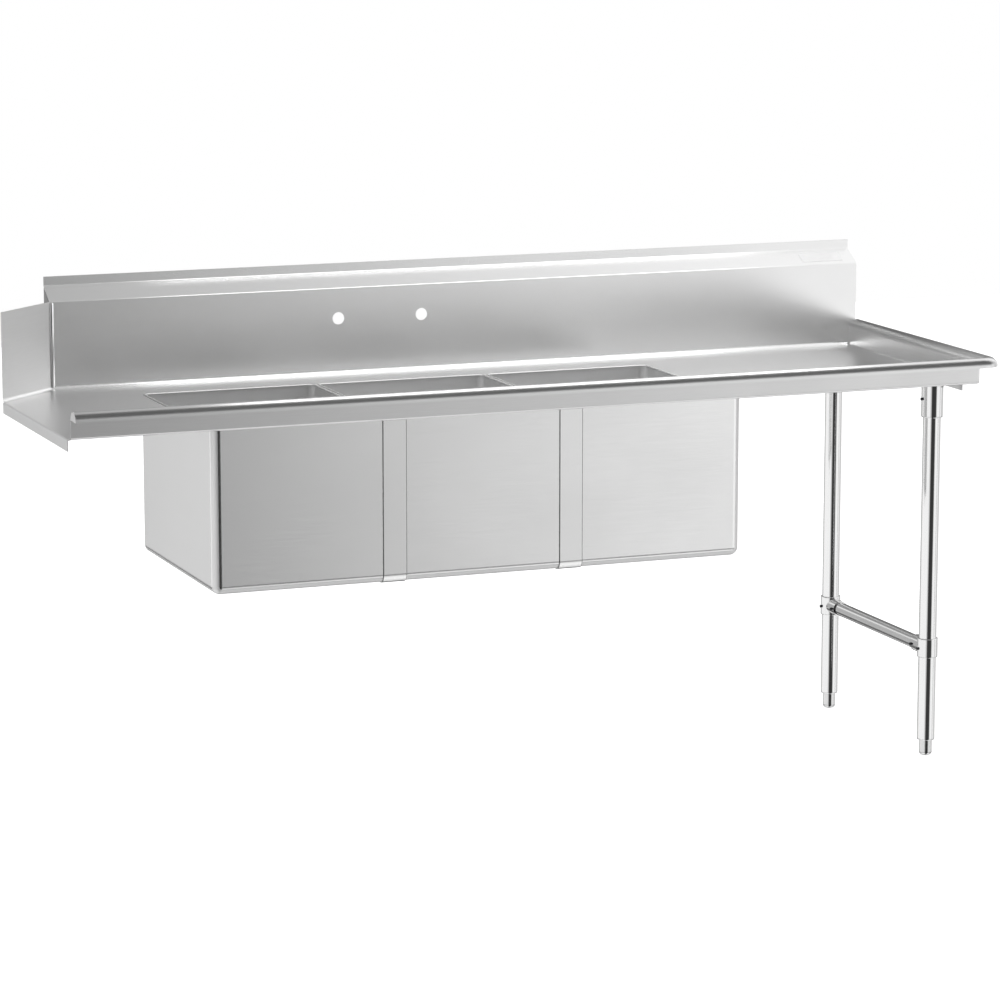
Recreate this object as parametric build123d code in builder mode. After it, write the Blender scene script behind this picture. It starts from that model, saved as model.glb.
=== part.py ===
from build123d import *

import os
from math import atan2, cos, hypot, sin

# Soiled dish table with a three compartment sink.
#
# Stainless sheet-metal table for a dish room. The left end has a turned-down flange that hooks over the
# rack track of a dishwashing machine, and the right end stands on two braced legs with adjustable feet.
#
# Frame: X along the table (machine end at -X), Y towards the wall, Z up. The origin is on the floor, under
# the middle of the table's bounding box. All sizes are in millimetres.

# ---------------------------------------------------------------- driving dimensions
# overall sizes
deck_length = 2133.6        # machine flange's outer face to the end web's outer face
overall_depth = 762.0       # wall plane to the front rim's outermost line
work_height = 878.0         # floor to the deck's top surface

# deck and rims
sheet = 1.5                 # 16 gauge stainless sheet
bend_inside = 4.5           # inside radius of the deck's front and end bends
rim_radius = 21.0           # outside radius of the rolled rim
rim_height = 61.3           # deck's top surface to the rim's crest
rim_cap_gap = 0.1           # around the caps in the rims' open ends
flange_drop = 25.4          # deck's top surface to the machine flange's lower edge
flange_bend = 4.0           # outside radius of the machine flange's bend
flange_tab_gap = 0.3        # under the machine end panel's corner
web_inset = 7.5             # machine flange's outer face to the front web's cut end

# backsplash
splash_setback = 51.0       # wall plane to the backsplash's face
splash_face = 198.8         # deck to the top of the vertical face
splash_return_top = 229.2   # deck to the top of the sloping return
splash_top = 250.0          # deck to the top of the wall lip
splash_cove = 10.0          # cove radius between deck and backsplash
splash_cove_lip = 2.0       # flat edge of the cove, welded to the deck
splash_bend = 3.0           # bend radius of the backsplash's upper bends
splash_past_web = 16.5      # how far the backsplash runs past the end web's outer face
splash_cap_gap = 0.5        # between the end caps and the sheet above and before them
panel_run = 144.3           # machine end panel: its run along the table
panel_step = 129.5          # machine end panel: its step towards the front

# faucet holes, centred over the middle bowl
faucet_spacing = 203.2
faucet_hole = 28.6
faucet_height = 128.5       # above the deck

# bowls
bowl_width = 406.4          # inside, along X
bowl_length = 533.4         # inside, along Y
bowl_depth = 355.6          # deck's top surface to the bowl's floor
bowl_wall = 1.2
bowl_corner = 19.0          # outside radius of the vertical corners
bowl_floor_radius = 18.8    # outside radius of the floor's edges
bowl_gap = 0.6              # between neighbouring bowls
bowl_start = 314.1          # machine flange's outer face to the left bowl's outer face
bowl_behind_bend = 0.3      # front bend's end to the bowls' front faces
deck_overhang = 5.0         # how far the deck reaches in over each bowl's wall
opening_corner = 12.0       # corner radius of the deck's cut-outs

# cover strips over the joints between the bowls
strip_width = 54.0
strip_sheet = 1.5
strip_gap = 0.3             # between the bowls and the strip
strip_return = 45.0         # how far the strip climbs the bowls' back faces

# drains: depths are measured down from the bowl's floor
drain_back = 70.0           # drain's centre behind the bowl's centre
drain_body_radius = 43.0
drain_body_wall = 5.0
drain_hole_clearance = 1.0
drain_flange_reach = 14.0   # flange's edge past the body's outside
drain_flange_sheet = 1.5
drain_ledge_width = 3.0
drain_ledge = 4.0           # depth of the ledge under the basket's rim
drain_body_depth = 40.0
drain_body_floor = 2.0
outlet_radius = 24.0
outlet_wall = 4.0
outlet_length = 22.0
gasket_width = 12.0
gasket_sheet = 3.0
locknut_ring = 6.0          # width of the locknut's ring inside its lugs
locknut_lug_reach = 7.0     # lugs' ends past the ring
locknut_height = 10.0
locknut_lugs = 6
thread_clearance = 0.3

# strainer baskets
basket_clearance = 0.5      # basket's rim to the drain's mouth
basket_seat_gap = 0.3       # basket's rim above the ledge
basket_sheet = 1.0
basket_side_gap = 4.0       # basket's wall to the drain's throat
basket_height = 30.0
basket_post_radius = 3.0
basket_knob_radius = 8.0
basket_hole_radius = 2.5
basket_rings = {0.4: 6, 0.75: 12}     # ring's share of the basket's radius: its number of holes
stopper_inset = 9.0         # basket's wall to the stopper's edge
stopper_sheet = 3.5
stopper_edge = 1.0

# leg end of the table
leg_diameter = 41.3         # 1 5/8 inch tube
leg_wall = 1.65
leg_inset = 78.0            # end web's outer face to the legs' axes
leg_front_inset = 83.0      # front web's outer face to the front leg's axis
leg_spacing = 508.0         # between the legs' axes
slip = 0.3                  # radial gap where a tube slides into a socket
channel_sheet = 1.9
channel_inboard = 50.0      # leg's axis to the channel's edge towards the bowls
channel_outboard = 56.0     # leg's axis to the channel's edge at the table's end
channel_inboard_drop = 6.0
channel_outboard_drop = 20.0
channel_front_reach = 40.0  # channel's front end past the front leg's axis
channel_back_reach = 50.0   # channel's back end past the back leg's axis
socket_wall = 4.3
socket_bottom = 85.0        # deck's top surface to the socket's lower edge
socket_edge = 3.5
socket_screw_drop = 42.0    # deck's top surface to the socket's set screw

# cross brace
brace_height = 255.0
brace_diameter = 31.75
brace_wall = 1.5
clamp_wall = 3.15
clamp_height = 45.0
clamp_edge = 2.5
stub_wall = 2.8
stub_reach = 55.0           # leg's axis to the stub's open end
stub_screw_reach = 45.0     # leg's axis to the screw in the stub
clamp_screw_drop = 2.0      # brace's axis down to the screw in the clamp's collar

# feet
foot_height = 36.0          # floor to the leg tube's insert
foot_inset = 5.75           # leg tube's outside to the foot's outside
foot_round = 8.0
foot_gap = 0.3
stem_radius = 8.0
stem_length = 45.0
stem_clearance = 0.08
insert_cap = 5.0
insert_round = 4.0
insert_plug = 25.0
insert_slip = 0.2

# set screws
screw_radius = 3.2
screw_clearance = 0.2
screw_stand_out = 4.0
screw_key_radius = 1.5
screw_key_depth = 2.0
screw_tip_gap = 0.1

# stiffener channels under the drainboards, and the studs and nuts that hold all the channels
stiffener_half_width = 40.0
stiffener_drop = 14.0
stiffener_end_gap = 14.0
stud_radius = 2.5
stud_clearance = 0.3
stud_end_distance = 30.0    # stiffener's end to its stud
stud_leg_distance = 120.0   # leg's axis to the leg channel's nearest stud
stud_below_nut = 2.0
nut_radius = 6.0
nut_height = 5.0

# ---------------------------------------------------------------- places worked out from them
web_radius = bend_inside + sheet
rim_reach = 2 * rim_radius - sheet
rim_centre = rim_height - rim_radius
overall_length = deck_length + rim_reach

x_flange = -overall_length / 2
x_web = x_flange + deck_length
x_web_bend = x_web - web_radius
x_splash_left = x_flange + panel_run
x_splash_right = x_web + splash_past_web

y_wall = overall_depth / 2
y_splash = y_wall - splash_setback
y_web = rim_reach - overall_depth / 2
y_web_bend = y_web + web_radius
cove_reach = splash_cove + splash_cove_lip
y_deck_back = y_splash - cove_reach
y_panel_left = y_splash - panel_step

z_deck = work_height
z_deck_under = z_deck - sheet

bowl_outer_width = bowl_width + 2 * bowl_wall
bowl_outer_length = bowl_length + 2 * bowl_wall
bowl_pitch = bowl_outer_width + bowl_gap
y_bowl_front = y_web_bend + bowl_behind_bend
y_bowl_back = y_bowl_front + bowl_outer_length
y_bowl = (y_bowl_front + y_bowl_back) / 2
bowl_names = ("left", "middle", "right")
x_bowls = [x_flange + bowl_start + bowl_outer_width / 2 + i * bowl_pitch for i in range(3)]
x_joints = [(x_bowls[i] + x_bowls[i + 1]) / 2 for i in range(2)]
z_bowl_floor = z_deck - bowl_depth
z_bowl_under = z_bowl_floor - bowl_wall
y_drain = y_bowl + drain_back

x_leg = x_web - leg_inset
y_leg_front = y_web + leg_front_inset
y_leg_rear = y_leg_front + leg_spacing
leg_places = {"front": (y_leg_front, 1), "rear": (y_leg_rear, -1)}
leg_radius = leg_diameter / 2
z_channel_under = z_deck_under - channel_sheet
UP = Vector(0, 0, 1)

os.makedirs("parts", exist_ok=True)


def write(part, label):
    """Label a finished piece and write it as its own STEP file."""
    part.label = label
    export_step(part, f"parts/{label}.step")


def outward_plane(origin, outward):
    """A vertical plane whose local X points outward and whose local Y points up."""
    return Plane(origin=origin, x_dir=outward, z_dir=Vector(*outward).cross(UP))


# ---------------------------------------------------------------- sections of the bent sheets
def rim_profile(plane):
    """Section of a web and its rolled rim. Local (0, 0) is on the deck's top, where the bend starts."""
    lip = bend_inside + 2 * rim_radius
    roll_centre = (bend_inside + rim_radius, rim_centre)
    with BuildSketch(plane) as profile:
        with BuildLine():
            Line((0, -sheet), (0, 0))
            CenterArc((0, bend_inside), bend_inside, -90, 90)
            Line((bend_inside, bend_inside), (bend_inside, rim_centre))
            CenterArc(roll_centre, rim_radius, 180, -180)
            Line((lip, rim_centre), (lip - sheet, rim_centre))
            CenterArc(roll_centre, rim_radius - sheet, 0, 180)
            Line((web_radius, rim_centre), (web_radius, bend_inside))
            CenterArc((0, bend_inside), web_radius, 0, -90)
        make_face()
    return profile.sketch


def flange_profile(plane):
    """Section of the turned-down machine flange, from the start of its bend."""
    inside = flange_bend - sheet
    with BuildSketch(plane) as profile:
        with BuildLine():
            Line((0, -sheet), (0, 0))
            CenterArc((0, -flange_bend), flange_bend, 90, -90)
            Polyline((flange_bend, -flange_bend), (flange_bend, -flange_drop), (inside, -flange_drop))
            Line((inside, -flange_drop), (inside, -flange_bend))
            CenterArc((0, -flange_bend), inside, 0, 90)
        make_face()
    return profile.sketch


def sheet_profile(plane, points, radii, thickness=sheet):
    """Section of a bent sheet: a path along its front surface, with the thickness behind it."""
    with BuildSketch(plane) as profile:
        with BuildLine():
            FilletPolyline(*points, radius=radii)
            offset(amount=thickness, side=Side.RIGHT)
        make_face()
    return profile.sketch


# ---------------------------------------------------------------- deck
front_rim = rim_profile(outward_plane((x_web_bend, y_web_bend, z_deck), (0, -1, 0)))
end_rim = rim_profile(outward_plane((x_web_bend, y_web_bend, z_deck), (1, 0, 0)))
flange_section = flange_profile(outward_plane((x_flange + flange_bend, y_web, z_deck), (-1, 0, 0)))

# the deck's back left corner is cut along the machine end panel's cove
panel_length = hypot(panel_run, panel_step)
panel_along = Vector(panel_run, panel_step, 0) / panel_length
panel_to_deck = Vector(panel_step, -panel_run, 0) / panel_length
x_flat_left = x_flange + flange_bend
cove_edge = Vector(x_flange, y_panel_left, 0) + panel_to_deck * cove_reach
y_flat_left = cove_edge.Y + (x_flat_left - cove_edge.X) * panel_step / panel_run
y_flange_back = cove_edge.Y + (x_flange - cove_edge.X) * panel_step / panel_run
x_flat_back = cove_edge.X + (y_deck_back - cove_edge.Y) * panel_run / panel_step

with BuildPart() as deck:
    with BuildSketch(Plane.XY.offset(z_deck_under)):
        with BuildLine():
            Polyline(
                (x_flat_left, y_web),
                (x_flange + web_inset, y_web),
                (x_flange + web_inset, y_web_bend),
                (x_web_bend, y_web_bend),
                (x_web_bend, y_deck_back),
                (x_flat_back, y_deck_back),
                (x_flat_left, y_flat_left),
                close=True,
            )
        make_face()
        with Locations(*[(x, y_bowl) for x in x_bowls]):
            RectangleRounded(
                bowl_width - 2 * deck_overhang,
                bowl_length - 2 * deck_overhang,
                opening_corner,
                mode=Mode.SUBTRACT,
            )
    extrude(amount=sheet)
    extrude(front_rim, amount=x_web_bend - x_flange - web_inset, dir=(-1, 0, 0))
    extrude(end_rim, amount=y_splash - y_web_bend, dir=(0, 1, 0))
    revolve(end_rim, axis=Axis((x_web_bend, y_web_bend, 0), (0, 0, -1)), revolution_arc=90)
    extrude(flange_section, amount=y_flange_back - y_web, dir=(0, 1, 0))
    # the flange runs on under the machine end panel's corner
    with BuildSketch(Plane.YZ.offset(x_flange)):
        with BuildLine():
            Polyline(
                (y_flange_back - flange_bend, z_deck - flange_drop),
                (y_panel_left, z_deck - flange_drop),
                (y_panel_left, z_deck_under - flange_tab_gap),
                (y_flange_back, z_deck_under - flange_tab_gap),
                (y_flange_back - flange_bend, z_deck - flange_bend),
                close=True,
            )
        make_face()
    extrude(amount=sheet)
write(deck.part, "deck")

# ---------------------------------------------------------------- backsplash and machine end panel
splash_upper = [
    (0, splash_face),
    (splash_setback - sheet, splash_return_top),
    (splash_setback - sheet, splash_top),
]
splash_section = sheet_profile(
    outward_plane((x_splash_left, y_splash, z_deck), (0, 1, 0)),
    [(-cove_reach, 0), (0, 0)] + splash_upper,
    [splash_cove, splash_bend, splash_bend],
)
splash_end_section = sheet_profile(
    outward_plane((x_web_bend, y_splash, z_deck), (0, 1, 0)),
    [(0, -sheet)] + splash_upper,
    [splash_bend, splash_bend],
)
# the backsplash and the panel meet on the plane that halves the angle between them
half_angle = atan2(panel_step, panel_run) / 2
mitre = Plane(origin=(x_splash_left, y_splash, z_deck), z_dir=(cos(half_angle), sin(half_angle), 0))

with BuildPart() as backsplash:
    extrude(splash_section, amount=x_web_bend - x_splash_left, dir=(1, 0, 0))
    extrude(splash_end_section, amount=x_splash_right - x_web_bend, dir=(1, 0, 0))
    with BuildSketch(Plane.XZ.offset(-y_splash)):
        with Locations(
            *[(x_bowls[1] + side * faucet_spacing / 2, z_deck + faucet_height) for side in (-1, 1)]
        ):
            Circle(faucet_hole / 2)
    extrude(amount=-2 * sheet, mode=Mode.SUBTRACT)
    split(bisect_by=mitre, keep=Keep.TOP)
write(backsplash.part, "backsplash")

# the panel is made too long at both ends, then cut on the mitre and on the flange's outer face
panel_spare = splash_setback
panel_start = Vector(x_flange, y_panel_left, z_deck) - panel_along * panel_spare
panel_section = sheet_profile(
    outward_plane(panel_start, tuple(-panel_to_deck)),
    [(-cove_reach, 0), (0, 0), (0, splash_face)],
    splash_cove,
)
with BuildPart() as machine_end_panel:
    extrude(panel_section, amount=panel_length + 2 * panel_spare, dir=panel_along)
    split(bisect_by=mitre, keep=Keep.BOTTOM)
    split(bisect_by=Plane(origin=(x_flange, y_panel_left, z_deck), z_dir=(1, 0, 0)), keep=Keep.TOP)
write(machine_end_panel.part, "machine_end_panel")

# the end caps close the space between the backsplash's sheet and the wall
cap_front = sheet + splash_cap_gap
cap_drop = 2 * (sheet + splash_cap_gap)
for side, x_cap, inward in (("left", x_splash_left, (1, 0, 0)), ("right", x_splash_right, (-1, 0, 0))):
    with BuildPart() as splash_cap:
        with BuildSketch(outward_plane((x_cap, y_splash, z_deck), (0, 1, 0))):
            with BuildLine():
                Polyline(
                    (cap_front, 0),
                    (cap_front, splash_face - cap_drop),
                    (splash_setback - sheet - splash_cap_gap, splash_return_top - cap_drop),
                    (splash_setback - sheet - splash_cap_gap, 0),
                    close=True,
                )
            make_face()
        extrude(amount=sheet, dir=inward)
    write(splash_cap.part, f"backsplash_cap_{side}")

# ---------------------------------------------------------------- caps in the open ends of the rims
rim_cap_places = {
    "front_rim_cap": ((x_flange + web_inset, y_web_bend, z_deck), (0, -1, 0), (1, 0, 0)),
    "end_rim_cap": ((x_web_bend, y_splash, z_deck), (1, 0, 0), (0, -1, 0)),
}
for label, (origin, outward, inward) in rim_cap_places.items():
    with BuildPart() as rim_cap:
        with BuildSketch(outward_plane(origin, outward)):
            with BuildLine():
                cap_arc = CenterArc(
                    (bend_inside + rim_radius, rim_centre), rim_radius - sheet - rim_cap_gap, 0, 180
                )
                Line(cap_arc @ 0, cap_arc @ 1)
            make_face()
        extrude(amount=sheet, dir=inward)
    write(rim_cap.part, label)

# ---------------------------------------------------------------- bowls and cover strips
for name, x_bowl in zip(bowl_names, x_bowls):
    with BuildPart() as bowl:
        with BuildSketch(Plane.XY.offset(z_bowl_under)):
            with Locations((x_bowl, y_bowl)):
                RectangleRounded(bowl_outer_width, bowl_outer_length, bowl_corner)
        extrude(amount=z_deck_under - z_bowl_under)
        fillet(bowl.faces().sort_by(Axis.Z)[0].edges(), radius=bowl_floor_radius)
        offset(amount=-bowl_wall, openings=bowl.faces().sort_by(Axis.Z)[-1])
        with BuildSketch(Plane.XY.offset(z_bowl_under)):
            with Locations((x_bowl, y_drain)):
                Circle(drain_body_radius + drain_hole_clearance)
        extrude(amount=bowl_wall, mode=Mode.SUBTRACT)
    write(bowl.part, f"bowl_{name}")

# each strip runs down the bowls' fronts, under their floors and a short way up their backs
strip_floor = z_bowl_under - strip_gap
for name, x_joint in zip(("left", "right"), x_joints):
    strip_section = sheet_profile(
        outward_plane((x_joint - strip_width / 2, 0, 0), (0, 1, 0)),
        [
            (y_bowl_front - strip_gap, z_deck_under),
            (y_bowl_front - strip_gap, strip_floor),
            (y_bowl_back + strip_gap, strip_floor),
            (y_bowl_back + strip_gap, strip_floor + strip_return),
        ],
        bowl_corner + strip_gap,
        strip_sheet,
    )
    with BuildPart() as strip:
        extrude(strip_section, amount=strip_width, dir=(1, 0, 0))
    write(strip.part, f"bowl_strip_{name}")


# ---------------------------------------------------------------- drains and strainer baskets
def turned(x, points):
    """A turned piece on a drain's axis. Each point is a radius and a height above the bowl's floor."""
    with BuildPart() as made:
        with BuildSketch(Plane(origin=(x, y_drain, z_bowl_floor), x_dir=(1, 0, 0), z_dir=(0, -1, 0))):
            with BuildLine():
                Polyline(*points, close=True)
            make_face()
        revolve(axis=Axis((x, y_drain, 0), (0, 0, 1)))
    return made.part


drain_throat_radius = drain_body_radius - drain_body_wall
drain_mouth_radius = drain_throat_radius + drain_ledge_width
drain_flange_radius = drain_body_radius + drain_flange_reach
outlet_bore = outlet_radius - outlet_wall
body_floor_top = drain_body_floor - drain_body_depth
outlet_end = -drain_body_depth - outlet_length
drain_points = [
    (drain_mouth_radius, drain_flange_sheet),
    (drain_flange_radius, drain_flange_sheet),
    (drain_flange_radius, 0),
    (drain_body_radius, 0),
    (drain_body_radius, -drain_body_depth),
    (outlet_radius, -drain_body_depth),
    (outlet_radius, outlet_end),
    (outlet_bore, outlet_end),
    (outlet_bore, body_floor_top),
    (drain_throat_radius, body_floor_top),
    (drain_throat_radius, -drain_ledge),
    (drain_mouth_radius, -drain_ledge),
]

# the basket hangs by its rim just above the ledge in the drain's mouth
basket_radius = drain_throat_radius - basket_side_gap
rim_under = basket_seat_gap - drain_ledge
rim_over = rim_under + basket_sheet
basket_under = rim_over - basket_height
basket_points = [
    (drain_mouth_radius - basket_clearance, rim_over),
    (drain_mouth_radius - basket_clearance, rim_under),
    (basket_radius, rim_under),
    (basket_radius, basket_under),
    (0, basket_under),
    (0, 0),
    (basket_knob_radius, 0),
    (basket_knob_radius, rim_under - basket_sheet),
    (basket_post_radius, rim_under - basket_sheet),
    (basket_post_radius, basket_under + basket_sheet),
    (basket_radius - basket_sheet, basket_under + basket_sheet),
    (basket_radius - basket_sheet, rim_over),
]
nut_bore = drain_body_radius + thread_clearance
locknut_reach = nut_bore + locknut_ring + locknut_lug_reach
gasket_under = -bowl_wall - gasket_sheet

for name, x_drain in zip(bowl_names, x_bowls):
    write(turned(x_drain, drain_points), f"drain_body_{name}")

    with BuildPart() as gasket:
        with BuildSketch(Plane.XY.offset(z_bowl_floor + gasket_under)):
            with Locations((x_drain, y_drain)):
                Circle(nut_bore + gasket_width)
                Circle(nut_bore, mode=Mode.SUBTRACT)
        extrude(amount=gasket_sheet)
    write(gasket.part, f"drain_gasket_{name}")

    with BuildPart() as locknut:
        with BuildSketch(Plane.XY.offset(z_bowl_floor + gasket_under - locknut_height)):
            with Locations((x_drain, y_drain)):
                Circle(nut_bore + locknut_ring)
                with PolarLocations(0, locknut_lugs):
                    Rectangle(locknut_reach, locknut_height, align=(Align.MIN, Align.CENTER))
                Circle(nut_bore, mode=Mode.SUBTRACT)
        extrude(amount=locknut_height)
    write(locknut.part, f"drain_locknut_{name}")

    basket_blank = turned(x_drain, basket_points)
    with BuildPart() as basket:
        add(basket_blank)
        with BuildSketch(Plane.XY.offset(z_bowl_floor + basket_under)):
            for share, count in basket_rings.items():
                with Locations((x_drain, y_drain)):
                    with PolarLocations(share * basket_radius, count):
                        Circle(basket_hole_radius)
        extrude(amount=basket_sheet, mode=Mode.SUBTRACT)
    write(basket.part, f"strainer_basket_{name}")

    with BuildPart() as stopper:
        with BuildSketch(Plane.XY.offset(z_bowl_floor + basket_under - stopper_sheet)):
            with Locations((x_drain, y_drain)):
                Circle(basket_radius - stopper_inset)
        extrude(amount=stopper_sheet)
        fillet(stopper.edges().sort_by(Axis.Z)[0], radius=stopper_edge)
    write(stopper.part, f"strainer_stopper_{name}")

# ---------------------------------------------------------------- channels under the deck
channel_front = y_leg_front - channel_front_reach
channel_back = y_leg_rear + channel_back_reach
x_channel_left = x_leg - channel_inboard
stiffener_spans = {
    "left": (x_flat_left + stiffener_end_gap, x_bowls[0] - bowl_outer_width / 2 - stiffener_end_gap),
    "right": (x_bowls[2] + bowl_outer_width / 2 + stiffener_end_gap, x_channel_left - stiffener_end_gap),
}
stud_rows = {"leg": [(x_leg, y_leg_front + stud_leg_distance), (x_leg, y_leg_rear - stud_leg_distance)]}
for name, (start, end) in stiffener_spans.items():
    stud_rows[name] = [(start + stud_end_distance, y_bowl), (end - stud_end_distance, y_bowl)]


def channel(plane, edges, drops, length, stud_places):
    """A channel flat against the deck, its two edges turned down, running along the plane's normal."""
    low, high = edges
    low_drop, high_drop = drops
    with BuildPart() as made:
        with BuildSketch(plane):
            with BuildLine():
                Polyline(
                    (low, 0),
                    (high, 0),
                    (high, -high_drop),
                    (high - channel_sheet, -high_drop),
                    (high - channel_sheet, -channel_sheet),
                    (low + channel_sheet, -channel_sheet),
                    (low + channel_sheet, -low_drop),
                    (low, -low_drop),
                    close=True,
                )
            make_face()
        extrude(amount=length)
        with BuildSketch(Plane.XY.offset(z_channel_under)):
            with Locations(*stud_places):
                Circle(stud_radius + stud_clearance)
        extrude(amount=channel_sheet, mode=Mode.SUBTRACT)
    return made.part


leg_channel = channel(
    outward_plane((x_leg, channel_back, z_deck_under), (1, 0, 0)),
    (-channel_inboard, channel_outboard),
    (channel_inboard_drop, channel_outboard_drop),
    channel_back - channel_front,
    stud_rows["leg"],
)
write(leg_channel, "leg_channel")
for name, (start, end) in stiffener_spans.items():
    stiffener = channel(
        outward_plane((start, y_bowl, z_deck_under), (0, 1, 0)),
        (-stiffener_half_width, stiffener_half_width),
        (stiffener_drop, stiffener_drop),
        end - start,
        stud_rows[name],
    )
    write(stiffener, f"stiffener_{name}")

# weld studs hang from the deck through the channels, and a nut under each one holds it
all_studs = [place for row in stud_rows.values() for place in row]
with BuildPart() as channel_studs:
    with BuildSketch(Plane.XY.offset(z_deck_under)):
        with Locations(*all_studs):
            Circle(stud_radius)
    extrude(amount=-channel_sheet - nut_height - stud_below_nut)
write(channel_studs.part, "channel_studs")

with BuildPart() as channel_nuts:
    with BuildSketch(Plane.XY.offset(z_channel_under)):
        with Locations(*all_studs):
            RegularPolygon(nut_radius, 6)
            Circle(stud_radius + stud_clearance, mode=Mode.SUBTRACT)
    extrude(amount=-nut_height)
write(channel_nuts.part, "channel_nuts")

# ---------------------------------------------------------------- legs, sockets, clamps and feet
z_leg_bottom = foot_height + insert_cap
z_socket_bottom = z_deck - socket_bottom
z_socket_screw = z_deck - socket_screw_drop
screw_hole_radius = screw_radius + screw_clearance
bore_radius = leg_radius + slip
socket_radius = bore_radius + socket_wall
clamp_radius = bore_radius + clamp_wall
stub_bore = brace_diameter / 2 + slip
stub_radius = stub_bore + stub_wall
foot_radius = leg_radius - foot_inset

for name, (y_leg, towards_brace) in leg_places.items():
    with BuildPart() as socket:
        with BuildSketch(Plane.XY.offset(z_socket_bottom)):
            with Locations((x_leg, y_leg)):
                Circle(socket_radius)
        extrude(amount=z_channel_under - z_socket_bottom)
        fillet(socket.edges().sort_by(Axis.Z)[0], radius=socket_edge)
        with BuildSketch(Plane.XY.offset(z_socket_bottom)):
            with Locations((x_leg, y_leg)):
                Circle(bore_radius)
        extrude(amount=z_channel_under - z_socket_bottom, mode=Mode.SUBTRACT)
        with BuildSketch(Plane.YZ.offset(x_leg)):
            with Locations((y_leg, z_socket_screw)):
                Circle(screw_hole_radius)
        extrude(amount=-2 * socket_radius, mode=Mode.SUBTRACT)
    write(socket.part, f"leg_socket_{name}")

    with BuildPart() as leg:
        with BuildSketch(Plane.XY.offset(z_leg_bottom)):
            with Locations((x_leg, y_leg)):
                Circle(leg_radius)
                Circle(leg_radius - leg_wall, mode=Mode.SUBTRACT)
        extrude(amount=z_channel_under - z_leg_bottom)
    write(leg.part, f"leg_{name}")

    with BuildPart() as insert:
        with BuildSketch(Plane.XY.offset(foot_height)):
            with Locations((x_leg, y_leg)):
                Circle(leg_radius)
        extrude(amount=insert_cap)
        fillet(insert.edges().sort_by(Axis.Z)[0], radius=insert_round)
        with BuildSketch(Plane.XY.offset(z_leg_bottom)):
            with Locations((x_leg, y_leg)):
                Circle(leg_radius - leg_wall - insert_slip)
        extrude(amount=insert_plug)
        with BuildSketch(Plane.XY.offset(foot_height)):
            with Locations((x_leg, y_leg)):
                Circle(stem_radius + stem_clearance)
        extrude(amount=insert_cap + insert_plug, mode=Mode.SUBTRACT)
    write(insert.part, f"leg_insert_{name}")

    with BuildPart() as foot:
        with BuildSketch(Plane.XY):
            with Locations((x_leg, y_leg)):
                Circle(foot_radius)
        extrude(amount=foot_height - foot_gap)
        fillet(foot.edges().sort_by(Axis.Z)[0], radius=foot_round)
        with BuildSketch(Plane.XY.offset(foot_height - foot_gap)):
            with Locations((x_leg, y_leg)):
                Circle(stem_radius)
        extrude(amount=stem_length)
    write(foot.part, f"foot_{name}")

    # the clamp's collar slides on the leg, and its stub takes the end of the brace
    with BuildPart() as clamp:
        with BuildSketch(Plane.XY.offset(brace_height - clamp_height / 2)):
            with Locations((x_leg, y_leg)):
                Circle(clamp_radius)
        extrude(amount=clamp_height)
        fillet(clamp.edges().filter_by(GeomType.CIRCLE), radius=clamp_edge)
        with BuildSketch(Plane(origin=(x_leg, y_leg, brace_height), z_dir=(0, towards_brace, 0))):
            Circle(stub_radius)
        extrude(amount=stub_reach)
        with BuildSketch(Plane(origin=(x_leg, y_leg, brace_height), z_dir=(0, towards_brace, 0))):
            Circle(stub_bore)
        extrude(amount=stub_reach, mode=Mode.SUBTRACT)
        with BuildSketch(Plane.XY.offset(brace_height - clamp_height / 2)):
            with Locations((x_leg, y_leg)):
                Circle(bore_radius)
        extrude(amount=clamp_height, mode=Mode.SUBTRACT)
        with BuildSketch(Plane.YZ.offset(x_leg)):
            with Locations(
                (y_leg + towards_brace * stub_screw_reach, brace_height),
                (y_leg, brace_height - clamp_screw_drop),
            ):
                Circle(screw_hole_radius)
        extrude(amount=-2 * clamp_radius, mode=Mode.SUBTRACT)
    write(clamp.part, f"brace_clamp_{name}")

brace_end_gap = leg_radius + slip
with BuildPart() as cross_brace:
    with BuildSketch(Plane(origin=(x_leg, y_leg_front + brace_end_gap, brace_height), z_dir=(0, 1, 0))):
        Circle(brace_diameter / 2)
        Circle(brace_diameter / 2 - brace_wall, mode=Mode.SUBTRACT)
    extrude(amount=leg_spacing - 2 * brace_end_gap)
    # the ends are scooped out so that they clear the legs
    with BuildSketch(Plane.XY.offset(brace_height - brace_diameter)):
        with Locations((x_leg, y_leg_front), (x_leg, y_leg_rear)):
            Circle(clamp_radius)
    extrude(amount=2 * brace_diameter, mode=Mode.SUBTRACT)
write(cross_brace.part, "cross_brace")


# ---------------------------------------------------------------- set screws, all on the machine side
def set_screws(places, label):
    """Socket screws along X. Each place is (y, z, x of the tube they press on, x of the outside wall)."""
    with BuildPart() as screws:
        for y, z, x_tip, x_wall in places:
            x_head = x_wall - screw_stand_out
            with BuildSketch(Plane.YZ.offset(x_head)):
                with Locations((y, z)):
                    Circle(screw_radius)
            extrude(amount=x_tip - screw_tip_gap - x_head)
            with BuildSketch(Plane.YZ.offset(x_head)):
                with Locations((y, z)):
                    RegularPolygon(screw_key_radius, 6)
            extrude(amount=screw_key_depth, mode=Mode.SUBTRACT)
    write(screws.part, label)


x_leg_side = x_leg - leg_radius
x_brace_side = x_leg - brace_diameter / 2
socket_screw_places = []
clamp_screw_places = []
for y_leg, towards_brace in leg_places.values():
    socket_screw_places.append((y_leg, z_socket_screw, x_leg_side, x_leg - socket_radius))
    clamp_screw_places.append((y_leg, brace_height - clamp_screw_drop, x_leg_side, x_leg - clamp_radius))
    y_stub_screw = y_leg + towards_brace * stub_screw_reach
    clamp_screw_places.append((y_stub_screw, brace_height, x_brace_side, x_leg - stub_radius))
set_screws(socket_screw_places, "socket_screws")
set_screws(clamp_screw_places, "clamp_screws")
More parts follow.
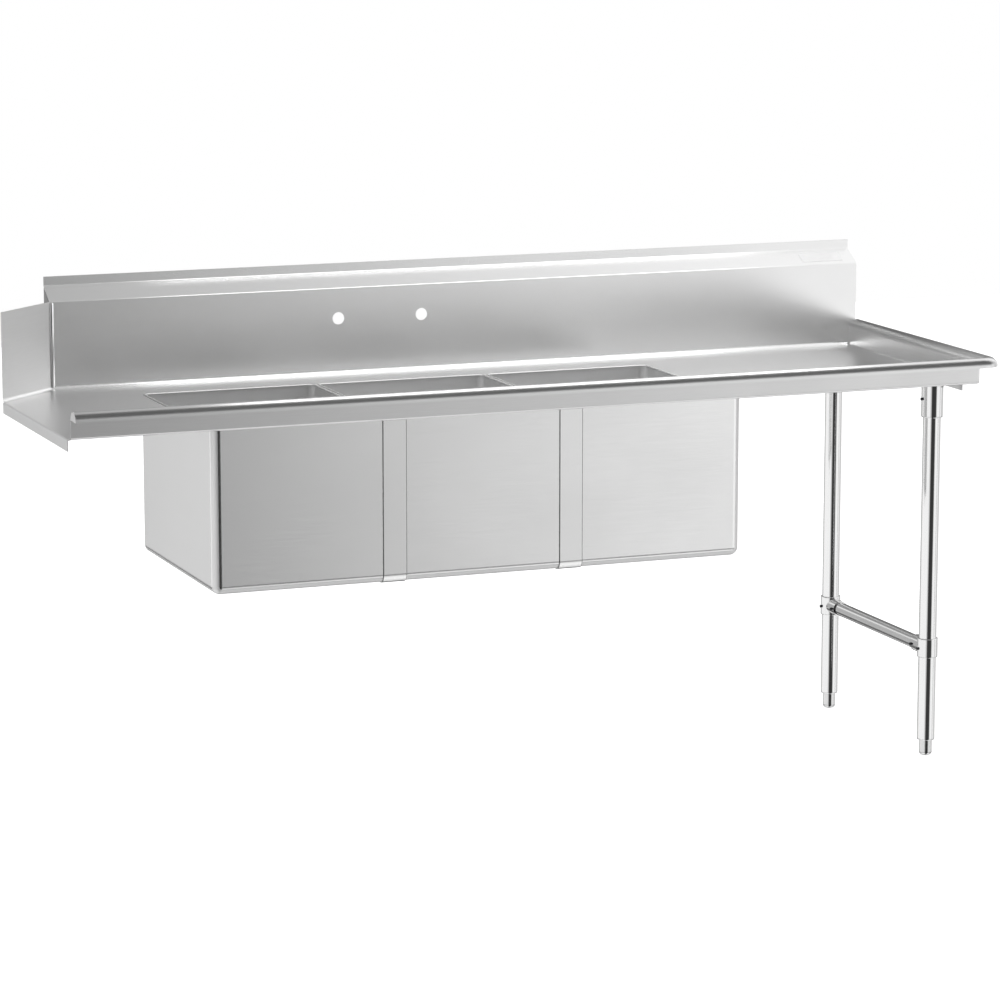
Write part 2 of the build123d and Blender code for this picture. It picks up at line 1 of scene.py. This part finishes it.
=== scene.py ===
from math import cos, pi, radians, sin

import bmesh
import bpy
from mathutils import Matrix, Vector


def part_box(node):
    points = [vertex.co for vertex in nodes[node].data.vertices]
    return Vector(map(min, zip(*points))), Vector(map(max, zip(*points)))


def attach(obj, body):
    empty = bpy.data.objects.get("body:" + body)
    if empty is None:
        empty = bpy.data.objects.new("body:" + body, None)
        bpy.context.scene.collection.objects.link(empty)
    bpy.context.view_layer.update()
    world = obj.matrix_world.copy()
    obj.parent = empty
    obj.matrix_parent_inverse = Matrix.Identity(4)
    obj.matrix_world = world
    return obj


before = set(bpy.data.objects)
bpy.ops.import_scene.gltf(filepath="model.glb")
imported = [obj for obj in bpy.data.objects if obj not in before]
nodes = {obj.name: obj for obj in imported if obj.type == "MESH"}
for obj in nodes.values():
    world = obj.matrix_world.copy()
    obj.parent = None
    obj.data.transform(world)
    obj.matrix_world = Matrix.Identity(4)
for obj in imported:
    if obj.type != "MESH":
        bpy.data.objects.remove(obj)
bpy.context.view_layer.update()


# ---------------------------------------------------------------- shader groups
def new_group(name, inputs, outputs):
    """An empty shader node group with float, vector or colour sockets and its two end nodes."""
    group = bpy.data.node_groups.new(name, "ShaderNodeTree")
    kinds = {"float": "NodeSocketFloat", "vector": "NodeSocketVector", "colour": "NodeSocketColor"}
    for label, kind, default in inputs:
        socket = group.interface.new_socket(name=label, in_out="INPUT", socket_type=kinds[kind])
        socket.default_value = default
    for label, kind in outputs:
        group.interface.new_socket(name=label, in_out="OUTPUT", socket_type=kinds[kind])
    return group, group.nodes.new("NodeGroupInput"), group.nodes.new("NodeGroupOutput")


def math_node(tree, operation, first, second=None, third=None, clamp=False):
    """A Math node whose inputs are numbers or sockets. Returns its output."""
    node = tree.nodes.new("ShaderNodeMath")
    node.operation = operation
    node.use_clamp = clamp
    for socket, value in zip(node.inputs, (first, second, third)):
        if isinstance(value, bpy.types.NodeSocket):
            tree.links.new(value, socket)
        elif value is not None:
            socket.default_value = value
    return node.outputs[0]


def blend_of(tree, mask, low, high):
    """low where mask is 0 and high where it is 1."""
    node = tree.nodes.new("ShaderNodeMix")
    node.data_type = "FLOAT"
    for socket, value in ((node.inputs[0], mask), (node.inputs[2], low), (node.inputs[3], high)):
        if isinstance(value, bpy.types.NodeSocket):
            tree.links.new(value, socket)
        else:
            socket.default_value = value
    return node.outputs[0]


def ramp_between(tree, value, start, end, low=0.0, high=1.0):
    """A smooth step of value from low to high between start and end."""
    node = tree.nodes.new("ShaderNodeMapRange")
    node.interpolation_type = "SMOOTHSTEP"
    for index, number in ((1, start), (2, end), (3, low), (4, high)):
        node.inputs[index].default_value = number
    tree.links.new(value, node.inputs[0])
    return node.outputs[0]


def noise_of(tree, vector, stretch, detail=2.0, roughness=0.5, shift=(0, 0, 0)):
    """A noise whose cells are 1 / stretch metres long along each axis."""
    mapping = tree.nodes.new("ShaderNodeMapping")
    mapping.inputs["Scale"].default_value = stretch
    mapping.inputs["Location"].default_value = shift
    tree.links.new(vector, mapping.inputs["Vector"])
    noise = tree.nodes.new("ShaderNodeTexNoise")
    noise.inputs["Scale"].default_value = 1.0
    noise.inputs["Detail"].default_value = detail
    noise.inputs["Roughness"].default_value = roughness
    tree.links.new(mapping.outputs[0], noise.inputs["Vector"])
    return noise.outputs[0]


def make_brushed_grain():
    """Fine straight belt lines along X, or along Y where Turned is 1, with slow smudges over them."""
    group, inside, out = new_group(
        "brushed_grain",
        [("Vector", "vector", (0, 0, 0)), ("Turned", "float", 0.0)],
        [("Lines", "float"), ("Fine", "float"), ("Smudges", "float")],
    )
    vector = inside.outputs["Vector"]
    turned = inside.outputs["Turned"]
    coarse_x = noise_of(group, vector, (5, 230, 230), 3.0, 0.6)
    coarse_y = noise_of(group, vector, (230, 5, 230), 3.0, 0.6)
    fine_x = noise_of(group, vector, (28, 1500, 1500), 2.0, 0.7)
    fine_y = noise_of(group, vector, (1500, 28, 1500), 2.0, 0.7)
    smudges = noise_of(group, vector, (4.5, 4.5, 5.5), 3.0, 0.55, (3.1, 0.7, 1.9))
    group.links.new(blend_of(group, turned, coarse_x, coarse_y), out.inputs["Lines"])
    group.links.new(blend_of(group, turned, fine_x, fine_y), out.inputs["Fine"])
    group.links.new(smudges, out.inputs["Smudges"])
    return group


def make_side_mask():
    """1 on faces that look along X, where the belt lines run along Y instead."""
    group, inside, out = new_group(
        "side_mask", [("Normal", "vector", (0, 0, 1))], [("Turned", "float")]
    )
    split = group.nodes.new("ShaderNodeSeparateXYZ")
    group.links.new(inside.outputs["Normal"], split.inputs[0])
    facing = math_node(group, "ABSOLUTE", split.outputs[0])
    group.links.new(math_node(group, "GREATER_THAN", facing, 0.7), out.inputs["Turned"])
    return group


grain_group = make_brushed_grain()
side_group = make_side_mask()


def new_metal(name, colour, roughness):
    """A metal material with its Principled BSDF, ready for a pattern."""
    material = bpy.data.materials.new(name)
    material.use_nodes = True
    shader = material.node_tree.nodes["Principled BSDF"]
    shader.inputs["Base Color"].default_value = (*colour, 1)
    shader.inputs["Roughness"].default_value = roughness
    shader.inputs["Metallic"].default_value = 1.0
    coordinates = material.node_tree.nodes.new("ShaderNodeTexCoord")
    return material, shader, coordinates


def add_bump(tree, shader, height, strength, distance):
    """Relief from a height socket. distance is in metres."""
    bump = tree.nodes.new("ShaderNodeBump")
    bump.inputs["Strength"].default_value = strength
    bump.inputs["Distance"].default_value = distance
    tree.links.new(height, bump.inputs["Height"])
    tree.links.new(bump.outputs[0], shader.inputs["Normal"])


def tint(tree, shader, mask, dark, light):
    """Base colour between two colours by a mask."""
    mix = tree.nodes.new("ShaderNodeMix")
    mix.data_type = "RGBA"
    mix.inputs[6].default_value = (*dark, 1)
    mix.inputs[7].default_value = (*light, 1)
    tree.links.new(mask, mix.inputs[0])
    tree.links.new(mix.outputs[2], shader.inputs["Base Color"])


def recolour(tree, shader, mask, colour):
    """One even base colour where the mask is 1, and the pattern that is there already where it is 0."""
    plain = shader.inputs["Base Color"].links[0].from_socket
    mix = tree.nodes.new("ShaderNodeMix")
    mix.data_type = "RGBA"
    tree.links.new(mask, mix.inputs[0])
    tree.links.new(plain, mix.inputs[6])
    mix.inputs[7].default_value = (*colour, 1)
    tree.links.new(mix.outputs[2], shader.inputs["Base Color"])


def axes_of(tree, coordinates):
    """The x, y and z of a point, as sockets."""
    split = tree.nodes.new("ShaderNodeSeparateXYZ")
    tree.links.new(coordinates.outputs["Object"], split.inputs[0])
    return split.outputs


def brushed_sheet(name, light, rough=0.26, turn_past=None, turn=0.0, lines=0.035, grain_depth=0.00002):
    """Brushed sheet steel. turn_past is the x from which the belt lines run along Y."""
    material, shader, coordinates = new_metal(name, (light, light, light), rough)
    tree = material.node_tree
    vector = coordinates.outputs["Object"]
    if turn:
        mapping = tree.nodes.new("ShaderNodeMapping")
        mapping.inputs["Rotation"].default_value = (0, 0, turn)
        tree.links.new(vector, mapping.inputs["Vector"])
        vector = mapping.outputs[0]
    grain = tree.nodes.new("ShaderNodeGroup")
    grain.node_tree = grain_group
    tree.links.new(vector, grain.inputs["Vector"])
    sides = tree.nodes.new("ShaderNodeGroup")
    sides.node_tree = side_group
    tree.links.new(coordinates.outputs["Normal"], sides.inputs["Normal"])
    turned = sides.outputs[0]
    if turn_past is not None:
        beyond = math_node(tree, "GREATER_THAN", axes_of(tree, coordinates)[0], turn_past)
        turned = math_node(tree, "MAXIMUM", turned, beyond)
    if not turn:
        tree.links.new(turned, grain.inputs["Turned"])
    fine = grain.outputs["Fine"]
    rows = grain.outputs["Lines"]
    smudges = grain.outputs["Smudges"]
    shade = math_node(tree, "MULTIPLY_ADD", rows, 0.35, math_node(tree, "MULTIPLY", fine, 0.65))
    low = light * (1 - 2 * lines)
    high = min(1.0, light * (1 + 2 * lines))
    tint(tree, shader, shade, (low, low, low), (high, high, high * 0.998))
    uneven = math_node(tree, "MULTIPLY_ADD", rows, 0.012, rough - 0.036)
    uneven = math_node(tree, "MULTIPLY_ADD", smudges, 0.06, uneven)
    tree.links.new(uneven, shader.inputs["Roughness"])
    height = math_node(tree, "MULTIPLY_ADD", rows, 0.08, fine)
    add_bump(tree, shader, height, 1.0, grain_depth)
    return material


def polished_tube(name, light, rough=0.1, along=(900, 900, 6)):
    """Drawn and polished steel, with faint lines along the tube."""
    material, shader, coordinates = new_metal(name, (light, light, light), rough)
    tree = material.node_tree
    vector = coordinates.outputs["Object"]
    lines = noise_of(tree, vector, along, 2.0, 0.6)
    clouds = noise_of(tree, vector, (14, 14, 9), 3.0, 0.5)
    tint(tree, shader, lines, (light * 0.96,) * 3, (min(1.0, light * 1.04),) * 3)
    tree.links.new(math_node(tree, "MULTIPLY_ADD", clouds, 0.08, rough - 0.04), shader.inputs["Roughness"])
    add_bump(tree, shader, lines, 0.6, 0.00001)
    return material


def turned_metal(name, colour, rough, rings=1400):
    """Metal with fine lathe rings."""
    material, shader, coordinates = new_metal(name, colour, rough)
    tree = material.node_tree
    vector = coordinates.outputs["Object"]
    marks = noise_of(tree, vector, (rings / 40, rings / 40, rings), 2.0, 0.6)
    stain = noise_of(tree, vector, (60, 60, 60), 3.0, 0.5)
    dark = tuple(c * 0.88 for c in colour)
    tint(tree, shader, stain, dark, tuple(min(1.0, c * 1.06) for c in colour))
    tree.links.new(math_node(tree, "MULTIPLY_ADD", stain, 0.12, rough - 0.06), shader.inputs["Roughness"])
    add_bump(tree, shader, marks, 0.5, 0.00003)
    return material


def plain_part(name, colour, rough, metallic=0.0, grain=400.0, depth=0.00005):
    """Rubber, cast or painted surface with a fine even texture."""
    material, shader, coordinates = new_metal(name, colour, rough)
    shader.inputs["Metallic"].default_value = metallic
    tree = material.node_tree
    vector = coordinates.outputs["Object"]
    pits = noise_of(tree, vector, (grain, grain, grain), 3.0, 0.6)
    dust = noise_of(tree, vector, (35, 35, 35), 3.0, 0.5)
    tint(tree, shader, dust, tuple(c * 0.85 for c in colour), tuple(min(1.0, c * 1.2) for c in colour))
    tree.links.new(math_node(tree, "MULTIPLY_ADD", pits, 0.16, rough - 0.08), shader.inputs["Roughness"])
    add_bump(tree, shader, pits, 0.5, depth)
    return material


def perforated(name, centre, light, rough, columns, row_pitch, hole, wall):
    """Turned steel punched with staggered rows of holes round an upright axis.

    hole is a hole's radius, and wall is the bottom and top of the punched part.
    """
    material, shader, coordinates = new_metal(name, (light, light, light), rough)
    tree = material.node_tree
    x, y, z = axes_of(tree, coordinates)
    x = math_node(tree, "SUBTRACT", x, centre[0])
    y = math_node(tree, "SUBTRACT", y, centre[1])
    bottom, top = wall
    row = math_node(tree, "DIVIDE", math_node(tree, "SUBTRACT", z, bottom), row_pitch)
    odd = math_node(tree, "MODULO", math_node(tree, "FLOOR", row), 2.0)
    stagger = math_node(tree, "MULTIPLY", odd, 0.5)
    turn = math_node(tree, "MULTIPLY", math_node(tree, "ARCTAN2", y, x), columns / (2 * pi))
    column = math_node(tree, "FRACT", math_node(tree, "ADD", turn, stagger))
    radius = math_node(tree, "MULTIPLY_ADD", x, x, math_node(tree, "MULTIPLY", y, y))
    radius = math_node(tree, "SQRT", radius)
    across = math_node(tree, "MULTIPLY", math_node(tree, "SUBTRACT", column, 0.5), radius)
    across = math_node(tree, "MULTIPLY", across, 2 * pi / columns)
    along = math_node(tree, "SUBTRACT", math_node(tree, "FRACT", row), 0.5)
    along = math_node(tree, "MULTIPLY", along, row_pitch)
    square = math_node(tree, "MULTIPLY_ADD", across, across, math_node(tree, "MULTIPLY", along, along))
    solid = math_node(tree, "GREATER_THAN", math_node(tree, "SQRT", square), hole)
    above = math_node(tree, "GREATER_THAN", z, top)
    below = math_node(tree, "LESS_THAN", z, bottom)
    solid = math_node(tree, "MAXIMUM", solid, math_node(tree, "MAXIMUM", above, below))
    tree.links.new(solid, shader.inputs["Alpha"])
    clouds = noise_of(tree, coordinates.outputs["Object"], (90, 90, 700), 2.0, 0.6)
    tint(tree, shader, clouds, (light * 0.9,) * 3, (light * 1.05,) * 3)
    uneven = math_node(tree, "MULTIPLY_ADD", clouds, 0.12, rough - 0.06)
    tree.links.new(uneven, shader.inputs["Roughness"])
    add_bump(tree, shader, clouds, 0.4, 0.00002)
    return material


# ---------------------------------------------------------------- finishes
# the belt lines run along Y on a strip this wide at the deck's right end
turned_width = 0.047
panel_turn = radians(-41.9)
deck_steel = brushed_sheet("deck_steel", 0.8, 0.3, turn_past=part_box("deck")[1][0] - turned_width)
splash_steel = brushed_sheet("splash_steel", 0.95, 0.26, lines=0.02, grain_depth=0.00001)
panel_steel = brushed_sheet("panel_steel", 0.68, 0.32, turn=panel_turn)
bowl_steel = brushed_sheet("bowl_steel", 0.86, 0.22, lines=0.045)
strip_steel = brushed_sheet("strip_steel", 0.9, 0.24, lines=0.03)
channel_steel = brushed_sheet("channel_steel", 0.7, 0.35)
# a dark copy of the sheet steel for the left backsplash end cap: its dark colour is painted shade, not the
# steel's own tone
painted_shade_steel = brushed_sheet("painted_shade_steel", 0.3, 0.4)
weld_steel = polished_tube("weld_steel", 0.95, 0.2, along=(500, 500, 500))
tube_steel = polished_tube("tube_steel", 0.8)
brace_steel = polished_tube("brace_steel", 0.8, 0.12, along=(900, 6, 900))
socket_steel = polished_tube("socket_steel", 0.78, 0.08)
drain_steel = turned_metal("drain_steel", (0.74, 0.74, 0.74), 0.16)
foot_steel = turned_metal("foot_steel", (0.74, 0.74, 0.74), 0.16)
stud_steel = turned_metal("stud_steel", (0.6, 0.6, 0.6), 0.3)
cast_brass = plain_part("cast_brass", (0.55, 0.42, 0.2), 0.38, metallic=1.0, grain=700.0)
label_paper = plain_part("label_paper", (0.95, 0.95, 0.95), 0.5, grain=900.0, depth=0.00001)
black_rubber = plain_part("black_rubber", (0.02, 0.02, 0.02), 0.65)
black_oxide = plain_part("black_oxide", (0.03, 0.03, 0.035), 0.35, metallic=0.6, grain=900.0)

finish_of = (
    ("deck", deck_steel),
    ("end_rim_cap", deck_steel),
    ("front_rim_cap", deck_steel),
    ("backsplash_cap_left", painted_shade_steel),
    ("backsplash", splash_steel),
    ("machine_end_panel", panel_steel),
    ("bowl_strip", strip_steel),
    ("bowl_", bowl_steel),
    ("drain_body", drain_steel),
    ("drain_gasket", black_rubber),
    ("drain_locknut", cast_brass),
    ("strainer_stopper", black_rubber),
    ("leg_channel", channel_steel),
    ("stiffener", channel_steel),
    ("leg_socket", socket_steel),
    ("leg_insert", tube_steel),
    ("leg_", tube_steel),
    ("cross_brace", brace_steel),
    ("brace_clamp", socket_steel),
    ("foot_", foot_steel),
    ("channel_", stud_steel),
    ("socket_screws", black_oxide),
    ("clamp_screws", black_oxide),
)
for node_name, node in nodes.items():
    for start, material in finish_of:
        if node_name.startswith(start):
            for slot in node.material_slots:
                slot.material = material
            break


def middle_of(box):
    """The middle of a node's box in plan."""
    low, high = box
    return (low[0] + high[0]) / 2, (low[1] + high[1]) / 2


bowl_tags = ("left", "middle", "right")
# shares of a basket's height that stay unpunched
plain_foot, plain_top = 0.22, 0.2
for tag in bowl_tags:
    low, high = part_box(f"strainer_basket_{tag}")
    depth = high[2] - low[2]
    wall = (low[2] + plain_foot * depth, high[2] - plain_top * depth)
    punched = perforated(
        f"basket_steel_{tag}",
        middle_of((low, high)),
        light=0.74,
        rough=0.2,
        columns=28,
        row_pitch=0.0042,
        hole=0.00125,
        wall=wall,
    )
    for slot in nodes[f"strainer_basket_{tag}"].material_slots:
        slot.material = punched


def soften_inside(material, wall, extra_roughness, colour):
    """A rougher finish in one even colour inside the bowls. wall is a little less than their sheet."""
    tree = material.node_tree
    shader = tree.nodes["Principled BSDF"]
    x, y, z = axes_of(tree, tree.nodes.new("ShaderNodeTexCoord"))
    first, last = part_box("bowl_left"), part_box("bowl_right")
    first_x, middle_y = middle_of(first)
    pitch = (middle_of(last)[0] - first_x) / 2
    half_x = (first[1][0] - first[0][0]) / 2 - wall
    half_y = (first[1][1] - first[0][1]) / 2 - wall
    turn = math_node(tree, "DIVIDE", math_node(tree, "SUBTRACT", x, first_x - pitch / 2), pitch)
    local = math_node(tree, "SUBTRACT", math_node(tree, "FRACT", turn), 0.5)
    local = math_node(tree, "MULTIPLY", local, pitch)
    within_x = math_node(tree, "LESS_THAN", math_node(tree, "ABSOLUTE", local), half_x)
    offset = math_node(tree, "ABSOLUTE", math_node(tree, "SUBTRACT", y, middle_y))
    within_y = math_node(tree, "LESS_THAN", offset, half_y)
    above = math_node(tree, "GREATER_THAN", z, first[0][2] + wall)
    inside = math_node(tree, "MULTIPLY", math_node(tree, "MULTIPLY", within_x, within_y), above)
    plain = shader.inputs["Roughness"].links[0].from_socket
    rougher = math_node(tree, "MULTIPLY_ADD", inside, extra_roughness, plain)
    tree.links.new(rougher, shader.inputs["Roughness"])
    recolour(tree, shader, inside, colour)


def paint_edge_shade(material, boxes, width, colour):
    """A dark line down both side edges of each upright strip: painted shade that stands for the shadow in
    the crevice beside the strip.
    """
    tree = material.node_tree
    x = axes_of(tree, tree.nodes.new("ShaderNodeTexCoord"))[0]
    spare = 0.001
    line = None
    for low, high in boxes:
        middle, half = (low[0] + high[0]) / 2, (high[0] - low[0]) / 2
        away = math_node(tree, "ABSOLUTE", math_node(tree, "SUBTRACT", x, middle))
        past = math_node(tree, "GREATER_THAN", away, half - width)
        past = math_node(tree, "MULTIPLY", past, math_node(tree, "LESS_THAN", away, half + spare))
        line = past if line is None else math_node(tree, "MAXIMUM", line, past)
    recolour(tree, tree.nodes["Principled BSDF"], line, colour)


soften_inside(bowl_steel, wall=0.0009, extra_roughness=0.34, colour=(0.84, 0.84, 0.84))
strip_boxes = [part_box("bowl_strip_left"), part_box("bowl_strip_right")]
# the dark lines down the strips' edges are painted shade of the crevice between each strip and the bowl
# fronts
paint_edge_shade(strip_steel, strip_boxes, width=0.0014, colour=(0.3, 0.3, 0.3))


# ---------------------------------------------------------------- added pieces
def add_piece(name, shape, material):
    """A finished bmesh as a piece on the table."""
    bmesh.ops.recalc_face_normals(shape, faces=shape.faces)
    mesh = bpy.data.meshes.new(name)
    shape.to_mesh(mesh)
    shape.free()
    for face in mesh.polygons:
        face.use_smooth = True
    mesh.materials.append(material)
    piece = bpy.data.objects.new(name, mesh)
    bpy.context.collection.objects.link(piece)
    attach(piece, "table")
    return piece


def rounded_outline(centre, half_x, half_y, corner, steps=8):
    """Points and outward directions round a rectangle with rounded corners."""
    outline = []
    for quarter, (sx, sy) in enumerate(((1, 1), (-1, 1), (-1, -1), (1, -1))):
        for step in range(steps + 1):
            angle = pi / 2 * (quarter + step / steps)
            out = (cos(angle), sin(angle))
            x = centre[0] + sx * (half_x - corner) + corner * out[0]
            y = centre[1] + sy * (half_y - corner) + corner * out[1]
            outline.append(((x, y), out))
    return outline


def join_rings(shape, rings, closed=False):
    """Faces between each ring of points and the next."""
    sides = len(rings[0])
    following_rings = rings[1:] + rings[:1] if closed else rings[1:]
    for here, there in zip(rings, following_rings):
        for side in range(sides):
            following = (side + 1) % sides
            shape.faces.new((here[side], here[following], there[following], there[side]))


def add_bead(name, outline, level, half_width, half_height, sides=10):
    """A low weld bead along a closed outline."""
    shape = bmesh.new()
    rings = []
    for (x, y), (out_x, out_y) in outline:
        ring = []
        for side in range(sides):
            angle = 2 * pi * side / sides
            reach = half_width * cos(angle)
            height = level + half_height * sin(angle)
            ring.append(shape.verts.new((x + reach * out_x, y + reach * out_y, height)))
        rings.append(ring)
    join_rings(shape, rings, closed=True)
    add_piece(name, shape, weld_steel)


sheet = 0.0015
deck_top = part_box("machine_end_panel")[0][2] + sheet
opening_half_x, opening_half_y, opening_corner = 0.1982, 0.2617, 0.012
bead_beyond, bead_sunk, bead_half_width, bead_half_height = 0.0016, 0.0001, 0.0034, 0.0011
for tag in bowl_tags:
    path = rounded_outline(
        middle_of(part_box(f"bowl_{tag}")),
        opening_half_x + bead_beyond,
        opening_half_y + bead_beyond,
        opening_corner + bead_beyond,
    )
    add_bead(f"bowl_weld_{tag}", path, deck_top - bead_sunk, bead_half_width, bead_half_height)


def add_label():
    """A blank white label on the backsplash's slope, near the right end."""
    slope_foot, slope_head = (0.330, 1.0768), (0.3795, 1.1072)
    middle, half_length, half_height, corner = (0.9775, 0.0285), 0.0535, 0.0175, 0.003
    under, over = 0.0001, 0.0004
    rise = (slope_head[0] - slope_foot[0], slope_head[1] - slope_foot[1])
    length = (rise[0] ** 2 + rise[1] ** 2) ** 0.5
    along = (rise[0] / length, rise[1] / length)
    out = (-along[1], along[0])
    shape = bmesh.new()
    layers = []
    for lift in (under, over):
        layer = []
        for (x, up), _ in rounded_outline(middle, half_length, half_height, corner, 4):
            y = slope_foot[0] + along[0] * up + out[0] * lift
            z = slope_foot[1] + along[1] * up + out[1] * lift
            layer.append(shape.verts.new((x, y, z)))
        layers.append(layer)
    shape.faces.new(layers[0])
    shape.faces.new(layers[1])
    join_rings(shape, layers)
    label = add_piece("blank_label", shape, label_paper)
    for face in label.data.polygons:
        face.use_smooth = False


def add_corner_weld(sides=12):
    """The polished upright weld between the machine end panel and the backsplash."""
    x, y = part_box("machine_end_panel")[1][0], 0.3298
    low, high = deck_top + 0.004, deck_top + 0.1965
    half_x, half_y, taper, narrow = 0.0042, 0.0016, 0.002, 0.6
    levels = ((low, narrow), (low + taper, 1.0), (high - taper, 1.0), (high, narrow))
    shape = bmesh.new()
    rings = []
    for level, size in levels:
        ring = []
        for side in range(sides):
            angle = 2 * pi * side / sides
            point = (x + half_x * size * cos(angle), y + half_y * size * sin(angle), level)
            ring.append(shape.verts.new(point))
        rings.append(ring)
    join_rings(shape, rings)
    shape.faces.new(rings[0])
    shape.faces.new(rings[-1])
    add_piece("corner_weld", shape, weld_steel)


add_label()
add_corner_weld()


# ---------------------------------------------------------------- stage
def stage_plate(name, corners, level):
    """A flat plate on the stage, with a plain paint that glows at level."""
    mesh = bpy.data.meshes.new(name)
    shape = bmesh.new()
    shape.faces.new([shape.verts.new(corner) for corner in corners])
    shape.to_mesh(mesh)
    shape.free()
    plate = bpy.data.objects.new(name, mesh)
    bpy.context.collection.objects.link(plate)
    paint = bpy.data.materials.new(name + "_paint")
    paint.use_nodes = True
    shader = paint.node_tree.nodes["Principled BSDF"]
    shader.inputs["Base Color"].default_value = (0.8, 0.8, 0.8, 1)
    shader.inputs["Roughness"].default_value = 0.9
    shader.inputs["Specular IOR Level"].default_value = 0.0
    shader.inputs["Emission Color"].default_value = (1, 1, 1, 1)
    shader.inputs["Emission Strength"].default_value = level
    mesh.materials.append(paint)
    return plate, shader


def level_corners(left, right, front, back, height):
    """Corners of a level plate."""
    return [(left, front, height), (left, back, height), (right, back, height), (right, front, height)]


def only_mirrored(plate):
    """The plate shows in the metal's reflections and nowhere else."""
    plate.visible_camera = False
    plate.visible_diffuse = False
    plate.visible_shadow = False


def add_stage():
    """A plain pale floor, and three plates that show only in reflections: two dark ones and a lamp."""
    reach = 7.0
    floor_corners = [(-reach, -reach, 0), (reach, -reach, 0), (reach, reach, 0), (-reach, reach, 0)]
    floor, _ = stage_plate("floor", floor_corners, 0.62)
    floor.visible_glossy = False

    over_front_rim = level_corners(-1.5, 1.5, -0.68, -0.35, 1.12)
    left, right, behind, low, high = 1.07, 1.9, 0.6, 1.09, 1.34
    behind_end_rim = [
        (left, behind, low),
        (right, behind, low),
        (right, behind, high),
        (left, behind, high),
    ]
    for name, corners, level in (("flag", over_front_rim, 0.1), ("screen", behind_end_rim, 0.12)):
        plate, paint = stage_plate(name, corners, level)
        paint.inputs["Base Color"].default_value = (0, 0, 0, 1)
        only_mirrored(plate)

    lamp, _ = stage_plate("lamp", level_corners(-0.55, 1.0, -0.3, 0.2, 1.5), 1.5)
    only_mirrored(lamp)


def zone(tree, angle, middle, half, soft, level):
    """level within half of middle, rising to 1 over soft. All angles in degrees."""
    away = math_node(tree, "ABSOLUTE", math_node(tree, "SUBTRACT", angle, radians(middle)))
    return ramp_between(tree, away, radians(half), radians(half + soft), level, 1.0)


def light_the_studio():
    """Soft light from all round.

    Only mirrored rays see the darker gaps between the lamps. Camera and diffuse rays see even white.
    """
    world = bpy.data.worlds.new("studio")
    bpy.context.scene.world = world
    world.use_nodes = True
    tree = world.node_tree
    background = tree.nodes["Background"]
    split = tree.nodes.new("ShaderNodeSeparateXYZ")
    tree.links.new(tree.nodes.new("ShaderNodeTexCoord").outputs["Generated"], split.inputs[0])
    x, y, z = split.outputs
    around = math_node(tree, "ARCTAN2", x, math_node(tree, "MULTIPLY", y, -1.0))
    by_camera = zone(tree, around, -21, 24, 4, 0.7)
    fading = zone(tree, around, -8, 20, 13, 0.06)
    thin_gap = zone(tree, around, 61, 1.5, 2, 0.35)
    right_gap = zone(tree, around, 152, 14, 8, 0.14)
    left_gap = zone(tree, around, -174, 8, 5, 0.3)
    behind_left = zone(tree, around, -151, 3, 4, 0.45)
    left_gap = math_node(tree, "MULTIPLY", left_gap, behind_left)
    right_lamp = zone(tree, around, 98, 10, 12, 0.6)
    sides = math_node(tree, "MULTIPLY", math_node(tree, "MULTIPLY", by_camera, fading), thin_gap)
    sides = math_node(tree, "MULTIPLY", sides, right_lamp)
    sides = math_node(tree, "MULTIPLY", sides, math_node(tree, "MULTIPLY", right_gap, left_gap))
    overhead = ramp_between(tree, x, 0.2, 0.5, 0.3, 1.05)
    level = blend_of(tree, ramp_between(tree, z, 0.3, 0.55), sides, overhead)
    low = math_node(tree, "ABSOLUTE", math_node(tree, "ADD", z, 0.38))
    low = ramp_between(tree, low, 0.05, 0.12, 0.2, 1.0)
    level = math_node(tree, "MULTIPLY", math_node(tree, "MULTIPLY", level, low), 1.1)
    ray = tree.nodes.new("ShaderNodeLightPath")
    seen = math_node(tree, "MAXIMUM", ray.outputs["Is Camera Ray"], ray.outputs["Is Diffuse Ray"])
    background.inputs["Color"].default_value = (1, 1, 1, 1)
    tree.links.new(blend_of(tree, seen, level, 1.0), background.inputs["Strength"])


def add_camera():
    """A long lens that looks a little down on the table from its machine end."""
    data = bpy.data.cameras.new("camera")
    data.sensor_width = 36.0
    data.lens = 141.69
    data.clip_end = 100
    camera = bpy.data.objects.new("camera", data)
    camera.location = (-3.17975, -8.17116, 2.22996)
    camera.rotation_euler = (radians(90 - 10.4006), 0, radians(-21.3201))
    bpy.context.collection.objects.link(camera)
    bpy.context.scene.camera = camera


add_stage()
light_the_studio()
add_camera()
bpy.context.scene.view_settings.view_transform = "Standard"
